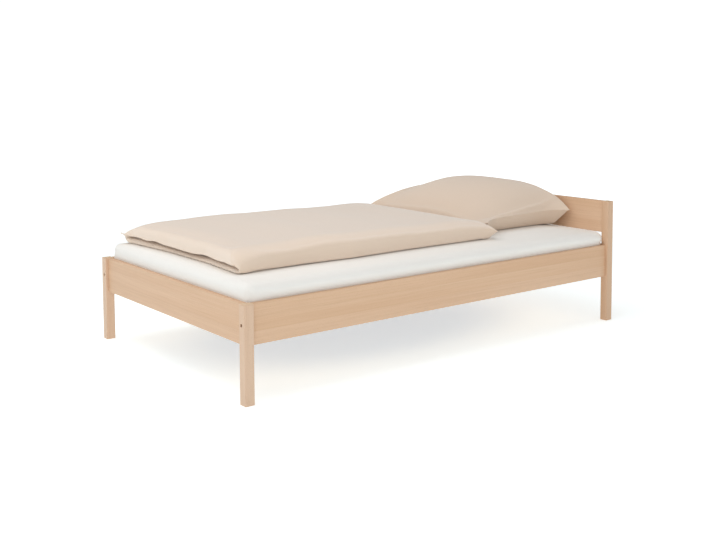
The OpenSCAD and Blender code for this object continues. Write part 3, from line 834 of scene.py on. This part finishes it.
def duvet_shape(H_at, e_foot=0.17, e_head=0.20, e_far=0.17, k_foot=1.1):
    """the two skins of a 1.40 x 2.00 m duvet folded in half: D runs from the foot seam to the head seam,
    T from the lower layer's far edge round the fold to the upper layer's far edge; z from the bed's top"""
    W, V, arc = 1.40, 2.00, 0.150
    yf = [-0.450, -0.422, -0.327, -0.165, -0.098, 0.023, 0.171, 0.373, 0.477, 0.495, 0.56]
    s1 = (V - arc) / 2
    du = stations(W, [0, .0016, .004, .0065, .0095, .013, .018, .025, .034, .045, .058, .073], 0.0145)
    low_part = stations(s1, [0, .0016, .004, .0065, .0095, .013, .018, .025, .034, .045, .058], 0.0150)
    fold_part = s1 + np.linspace(0, arc, 23)[1:-1]
    tt = np.concatenate([low_part, fold_part, (V - low_part)[::-1]])
    D, T = np.meshgrid(du, tt, indexing="ij")
    Dh = W - D
    t = np.clip((T - s1) / arc, 0, 1)
    ang = np.where(t < 0.41, t / 0.41, 1 + (t - 0.41) / 0.59) * (math.pi / 2)
    low, up = T <= s1, T >= s1 + arc
    bend = ~low & ~up
    turn = 0.5 - 0.5 * np.cos(ang)
    run = np.where(low, s1 - T, np.where(up, T - s1 - arc, 0.0))
    edge = s1 - run
    x_body = -0.975 + D * 0.971
    # body: contact line, bulge and top of the fold
    y_out = -0.453 + np.interp(x_body, [-0.92, -0.84, -0.66, -0.43, -0.14, 0.03, 0.20, 0.37], [-0.001, 0.006, 0.008, -0.004, 0.004, 0.004, 0.001, 0.0])
    r_low, r_up = 0.018, 0.086
    sn, cs = np.sin(ang), np.abs(np.cos(ang))
    square = np.where(ang < math.pi / 2, 0.62, 1.0)
    yb = np.where(low, y_out + r_low + run * 1.030, np.where(up, y_out + r_up + run * 0.994, y_out + (1 - sn ** square) * np.where(ang < math.pi / 2, r_low, r_up)))
    H = H_at(x_body) * (1 + 0.035 * (1 - np.clip(np.abs(yb - 0.02) / 0.46, 0, 1) ** 2) * turn)
    low_full = 0.046
    # foot seam
    tuck = np.exp(-run / 0.05)
    y_end = np.where(bend, -0.430 - 0.016 * np.sin(ang), np.where(low, yb + (-0.430 - (y_out + r_low)) * tuck, yb + (-0.430 - (y_out + r_up)) * tuck))
    nose = np.interp(y_end, yf, [-0.9405, -0.9469, -0.940, -0.9260, -0.9264, -0.9263, -0.9265, -0.9418, -0.949, -0.9539, -0.960]) - 0.004
    ef = np.zeros(D.shape + (3,))
    lip = smooth((turn - 0.5) * 2)
    ef[..., 0] = nose - 0.010 * lip
    ef[..., 1] = y_end
    z_nose = 0.0070
    z_lip = np.interp(y_end, [-0.46, -0.438, -0.395, -0.3536, -0.318, -0.2848, -0.235, -0.1761, -0.139, -0.095, -0.0525, 0.0065, 0.0652, 0.124, 0.201, 0.237, 0.274, 0.307, 0.341, 0.385, 0.429, 0.476, 0.53],
                      [0.030, 0.0308, 0.0318, 0.0332, 0.0318, 0.0303, 0.0322, 0.0345, 0.0333, 0.0292, 0.0263, 0.0268, 0.0275, 0.0283, 0.0290, 0.0330, 0.0368, 0.0335, 0.0303, 0.0338, 0.0362, 0.0335, 0.0345])
    band = np.interp(y_end, [-0.42, -0.33, -0.25, -0.16, -0.116, -0.03, 0.09, 0.148, 0.256, 0.356, 0.452, 0.50], [0.0172, 0.0190, 0.0191, 0.0180, 0.0155, 0.0135, 0.0150, 0.0152, 0.0178, 0.0206, 0.0235, 0.0240])
    ef[..., 2] = z_nose + (z_lip - z_nose) * turn
    # head seam
    eh = np.zeros(D.shape + (3,))
    tip_t = 0.52
    rise_t = np.clip(t / tip_t, 0, 1)
    back_t = np.clip((t - tip_t) / (1 - tip_t), 0, 1)
    y_c, y_tip, y_top = -0.441, -0.4965, -0.425
    ends = np.exp(-run / 0.06)
    eh[..., 0] = np.where(low, 0.375, np.where(up, 0.385, 0.375 + 0.010 * rise_t))
    eh[..., 1] = np.where(low, yb + (y_c - (y_out + r_low)) * ends, np.where(up, yb + (y_top - (y_out + r_up)) * ends,
                          np.where(t < tip_t, y_c + (y_tip - y_c) * rise_t, y_tip + (y_top - y_tip) * back_t)))
    z_up_h = np.interp(yb, [-0.43, -0.377, -0.237, -0.016, 0.22, 0.45, 0.56], [0.0465, 0.0475, 0.0502, 0.0552, 0.0582, 0.0592, 0.052])
    z_low_h = 0.003 + 0.014 * smooth(run / 0.10)
    eh[..., 2] = np.where(low, z_low_h, np.where(up, z_up_h, np.where(t < tip_t, 0.003 + 0.0395 * rise_t, 0.0425 + 0.004 * back_t)))
    # far corners: thin pinched ears
    for E, s in ((ef, -1.0), (eh, 1.0)):
        ear = np.exp(-edge / np.where(low, 0.022, 0.030))
        E[..., 0] += s * np.where(low, 0.011, 0.007) * ear
        E[..., 1] += np.where(low, 0.012, 0.006) * ear
        E[..., 2] += np.where(low, 0.0285, 0.004) * ear
    # body heights of the two skins, with the far edges pressed to their seams
    flange = 0.005
    eg = np.clip(edge - flange, 0, None)
    zo_low = 0.018 * (1 - quarter(edge / 0.025))
    far_lift = 0.007
    e_up = quarter(eg / e_far) ** 1.15
    zo_up = far_lift + (H - far_lift) * e_up
    e_lo = quarter(eg / 0.10) ** 1.0
    zi_low = 0.018 + (low_full - 0.018) * e_lo
    out_z = np.where(bend, H / 2 * (1 - np.sign(np.cos(ang)) * cs ** square), np.where(low, zo_low, zo_up))
    in_y = np.where(bend, y_out + 0.040 - 0.004 * np.sin(ang), yb)
    zi_up = np.maximum(zi_low + 0.0015, far_lift - 0.0015)
    in_z = np.where(bend, low_full + 0.0015 * turn, np.where(low, zi_low, zi_up))
    f = D < W / 2
    end = np.where(f[..., None], ef, eh)
    dist = np.where(f, D, Dh)
    # how soon a skin leaves its end seam
    dg = np.clip(dist - flange * turn, 0, None)
    e_end = np.where(f, 0.008 + (e_foot - 0.008) * smooth(turn * 1.15), 0.018 + (e_head - 0.018) * smooth(turn * 1.6 + 0.25 * rise_t))
    q_out = quarter(dg / e_end) ** (1 + (k_foot - 1) * turn)
    # the upper layer ends in a short upright edge, then slopes up
    brim = np.where(f, np.minimum(0.011 * turn ** 2 / np.maximum(out_z - end[..., 2], 0.012), 0.5), 0.0)
    q_out = brim * quarter(dg / 0.007) + (1 - brim) * q_out
    # plan follows more slowly than height, so that the pinched ends run out into the fold
    q_y = quarter(dist / np.where(f, 0.07, 0.17))
    x_lin = ef[..., 0] + (eh[..., 0] - ef[..., 0]) * (D / W)
    outer = np.zeros(D.shape + (3,))
    inner = np.zeros(D.shape + (3,))
    outer[..., 0] = inner[..., 0] = x_lin
    outer[..., 1] = end[..., 1] + (yb - end[..., 1]) * q_y
    outer[..., 2] = end[..., 2] + (out_z - end[..., 2]) * q_out
    # inner skins
    nose_top = np.where(f, band, 0.036)
    q_in = quarter(dist / np.where(f, 0.011, 0.03))
    slow = smooth((dist - 0.02) / 0.20)
    low_top = end[..., 2] + (np.minimum(nose_top, in_z) - end[..., 2]) * q_in
    low_top = low_top + np.maximum(in_z - nose_top, 0) * slow
    zl = low_top
    lz = nose_top + np.maximum(zi_low - nose_top, 0) * slow
    lz = np.minimum(lz, np.maximum(zi_low, 0.013))
    # the two layers part at the foot, so that a dark slit runs between them
    under = np.maximum(lz + 0.0015 + np.where(f, 0.0115 * (1 - smooth(dist / 0.20)) * smooth(edge / 0.07), 0.002 * (1 - smooth((dist - 0.04) / 0.06))), np.where(edge < 0.10, zi_up * np.where(f, smooth((dist - 0.03) / 0.12), 1.0), 0))
    # past the lower layer's far edge the upper one hangs down to the bed
    over = smooth((edge - 0.008) / 0.028)
    under = 0.003 + (under - 0.003) * over
    zu = end[..., 2] + (under - end[..., 2]) * smooth(dg / np.where(f, 0.035, 0.10))
    inner[..., 2] = np.where(low, zl, np.where(up, zu, zl * (1 - turn) + zu * turn))
    inner[..., 1] = end[..., 1] + (in_y - end[..., 1]) * q_y
    least = 0.0022 + 0.0050 * np.exp(-(edge + dist) / 0.045)
    thin = outer[..., 2] - inner[..., 2] < least
    outer[..., 2] = np.where(thin & up, inner[..., 2] + least, outer[..., 2])
    thin = inner[..., 2] - outer[..., 2] < 0.0022
    inner[..., 2] = np.where(thin & low, outer[..., 2] + 0.0022, inner[..., 2])
    # the lower layer lies on a bed that falls off towards its edges
    sink = bed_sink(x_lin, outer[..., 1]) * (1 - turn)
    outer[..., 2] += sink
    inner[..., 2] += sink
    return D, T, x_lin, yb, turn, edge, run, low, up, outer, inner

def puckers(along, away, seed, depth=0.0012, pitch=0.034):
    """small gathers that a sewn seam draws into the cloth beside it"""
    p = np.stack([along.ravel() / pitch, away.ravel() * 12, np.full(along.size, seed + 0.5)], 1)
    q = np.stack([along.ravel() / (pitch * 0.42), away.ravel() * 20, np.full(along.size, seed + 3.5)], 1)
    n = value_noise(p, 21).reshape(along.shape) + 0.45 * value_noise(q, 22).reshape(along.shape)
    return depth * n * np.exp(-away / 0.030) * smooth(away / 0.004)


def duvet_object():
    """seams lie nearly closed at the foot, and at the head they end in a pinched tip at the fold"""
    z0 = BED_TOP + 0.0005
    H_at = lambda x: np.interp(x, [-0.98, -0.90, -0.82, -0.74, -0.66, -0.58, -0.50, -0.40, -0.28, -0.16, -0.03, 0.10, 0.22, 0.32, 0.39],
                               [0.1000, 0.0978, 0.0972, 0.0981, 0.1016, 0.1036, 0.1042, 0.1004, 0.1006, 0.1006, 0.0957, 0.0950, 0.0988, 0.1015, 0.1040])
    D, T, X, Y, turn, edge, run, low, up, outer, inner = duvet_shape(H_at, e_foot=0.1410, e_head=0.246, e_far=0.1150, k_foot=0.78)
    Dh = 1.40 - D
    outer[..., 2] += z0
    inner[..., 2] += z0
    # soft unevenness of the filling, and gathers along the seams
    away = smooth(np.minimum(D, Dh) / 0.22) * smooth(edge / 0.16)
    p1 = value_noise(np.stack([(X * 2.6).ravel(), (Y * 3.4).ravel(), np.full(X.size, 2.5)], 1), 4).reshape(X.shape)
    p2 = value_noise(np.stack([(X * 7.5 + 3).ravel(), (Y * 6.0).ravel(), np.full(X.size, 7.5)], 1), 6).reshape(X.shape)
    outer[..., 2] += turn * away * (0.0026 * p1 + 0.0012 * p2)
    top = smooth((turn - 0.4) / 0.4)
    outer[..., 2] += top * (puckers(Y, D, 1) + puckers(Y, Dh, 2) + puckers(X, edge, 3))
    uv = np.stack([D, T], 2)
    o, n1, rim, keep = two_skins("duvet_quilt", outer, inner, uv)
    # both panels were cut flat; where the skins touch the bed or each other they stay
    rest = np.concatenate([np.stack([D.ravel(), T.ravel(), np.zeros(D.size)], 1),
                           np.stack([D.ravel()[keep], T.ravel()[keep], np.zeros(len(keep))], 1)])
    hold_out = np.where(low, smooth((np.minimum(D, Dh) - 0.03) / 0.05) * smooth((edge - 0.03) / 0.05), 0.0)
    hold_out = np.maximum(hold_out, 0.5 * np.exp(-np.minimum(D, Dh) / 0.03))
    hold_in = smooth((np.minimum(D, Dh) - 0.012) / 0.03) * smooth((edge - 0.012) / 0.03)
    hold_in = np.maximum(hold_in, np.where(D < 0.12, 0.9, 0.5 * np.exp(-np.minimum(D, Dh) / 0.03)))
    seam_hold = np.where((D < 1e-6) | (Dh < 1e-6) | (edge < 1e-6), 0.60, 0.0) + 0.35 * np.exp(-(edge + np.minimum(D, Dh)) / 0.05)
    pin = np.concatenate([np.maximum(hold_out, seam_hold).ravel(), hold_in.ravel()[keep]])
    relax(o, rest, 12, 1.2, 0.005, pin=pin, bending=1.5, floor=((-1.2, -0.8, z0 - 0.08), (0.6, 0.8, z0 - 0.0012)))
    subdivide(o, 1)
    o.data.materials.append(fabric("duvet_cotton", lin(236, 215, 195), thread=0.0008, weave=0.2, slub=0.02, sheen=0.80, mottle=0.010))
    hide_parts("duvet_filling", "duvet_cover")
    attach(o, "duvet")
    return o


duvet = duvet_object()


# ---------------------------------------------------------------- pillow

def pillow_shape(swell=0.0981, e_back=0.676, e_near=1.000, e_far=0.100, lean=0.0935, mid=0.1046, far=0.506, rise=3.44, e_front=0.733,
                 y0=-0.4125, pull=0.189, seam_f=0.0669, seam_b=0.0795, in_near=0.0732, in_back=0.016, low_e=1.25):
    """heights above the bed of the two panels of a 0.65 x 0.98 m pillow over its plan, A from front to back,
    B from the near end to the far one; the seam lies low in front and stands against the headboard behind"""
    a = stations(2.0, [0, .005, .012, .020, .030, .044, .062, .085, .115, .15], 0.036) - 1
    b = stations(2.0, [0, .0035, .008, .013, .020, .029, .041, .057, .078, .105], 0.0245) - 1
    A, B = np.meshgrid(a, b, indexing="ij")
    ab, bb = np.abs(A), np.abs(B)
    cx, hx = 0.6975, 0.2920
    y1 = far
    cy, hy = (y0 + y1) / 2, (y1 - y0) / 2
    back_side = (A > 0).astype(float)
    # the sides pull in between the corners; the back follows the headboard
    X = cx + hx * A * (1 - 0.05 * (1 - B ** 2) * ab ** 3 * (1 - back_side)) - 0.017 * back_side * A ** 4 * bb ** 3
    Y = cy + hy * B * (1 - np.where(B < 0, pull, 0.08) * (1 - ab ** 4.5) * bb ** 2.2)
    front = 0.0440 + (seam_f - 0.0440) * smooth((bb - 0.80) / 0.20)
    back = seam_b + mid * (1 - bb ** rise)
    share = (A + 1) / 2
    seam = front + share ** (1 + 0.5 * bb ** 3) * (back - front)
    rim_in = np.minimum((1 - ab) * hx, (1 - bb) * hy)
    # a flat sewn flange first, then the swell of the filling
    fl = 0.0030
    Ai = np.clip(ab, 0, 1 - fl / hx) / (1 - fl / hx)
    Bi = np.clip(bb, 0, 1 - fl / hy) / (1 - fl / hy)
    fa, fb = np.clip(1 - Ai ** 2, 0, 1), np.clip(1 - Bi ** 2, 0, 1)
    top = seam + swell * fa ** np.where(A > 0, e_back, e_front) * fb ** np.where(B < 0, e_near, e_far) * (1 - lean * A)
    # the lower panel slopes back under the seam to where it meets the bed
    da = (1 - Ai) * hx / np.where(A > 0, in_back, 0.050)
    db = (1 - Bi) * hy / in_near
    s = (np.maximum(da, 1e-6) ** -3.0 + np.maximum(db, 1e-6) ** -3.0) ** (-1 / 3.0)
    under = 1 - (1 - (1 - np.clip(s, 0, 1)) ** low_e) ** (1 / low_e)
    bot = np.maximum(seam * under, 0.0006)
    # thickness of the flange
    cloth = 0.0011 * smooth(rim_in / 0.001)
    return A, B, X, Y, seam, rim_in, np.maximum(top, seam + cloth), np.minimum(bot, seam - cloth), back_side, hx, hy


def pillow_object():
    """two panels sewn together round the rim"""
    z0 = BED_TOP + 0.0005
    A, B, X, Y, seam, rim_in, top, bot, back_side, hx, hy = pillow_shape()
    ab, bb = np.abs(A), np.abs(B)
    # gathers beside the seams, and slight unevenness
    g = puckers(Y, (1 - ab) * hx, 5, 0.0016, 0.045) + puckers(X, (1 - bb) * hy, 6, 0.0016, 0.040)
    top = top + g
    p1 = value_noise(np.stack([(X * 5.0).ravel(), (Y * 4.0).ravel(), np.full(X.size, 1.5)], 1), 31).reshape(X.shape)
    top = top + 0.0020 * p1 * smooth(rim_in / 0.10)
    outer = np.stack([X, Y, z0 + top], 2)
    swell = 0.012 * back_side * np.sin(np.clip((seam - bot) / np.maximum(seam, 0.01), 0, 1) * math.pi) * smooth((A - 0.8) / 0.2) * (1 - B ** 6)
    inner = np.stack([X + swell, Y, z0 + bot], 2)
    U = np.stack([A * 0.325, B * 0.49], 2)
    o, n1, rim, keep = two_skins("pillow_soft", outer, inner, U)
    rest = np.concatenate([np.stack([U[..., 0].ravel(), U[..., 1].ravel(), np.zeros(A.size)], 1),
                           np.stack([U[..., 0].ravel()[keep], U[..., 1].ravel()[keep], np.zeros(len(keep))], 1)])
    flat_low = np.where(bot < 0.002, 0.8, np.where(B < -0.6, 0.6, 0.0))
    hold = 0.9 * np.exp(-rim_in / 0.016)
    pin = np.concatenate([hold.ravel(), np.maximum(hold, flat_low).ravel()[keep]])
    relax(o, rest, 14, 1.4, 0.006, pin=pin, bending=0.8,
          floor=((0.2, -0.8, z0 - 0.08), (1.0, 0.8, z0 - 0.0012)), walls=[((1.003, -0.6, 0.434), (1.023, 0.6, 0.80))])
    subdivide(o, 1)
    o.data.materials.append(fabric("pillow_cotton", lin(228, 207, 187), thread=0.0008, weave=0.2, slub=0.02, sheen=0.45, mottle=0.012))
    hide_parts("pillow_filling", "pillowcase")
    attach(o, "pillow")
    return o


pillow = pillow_object()
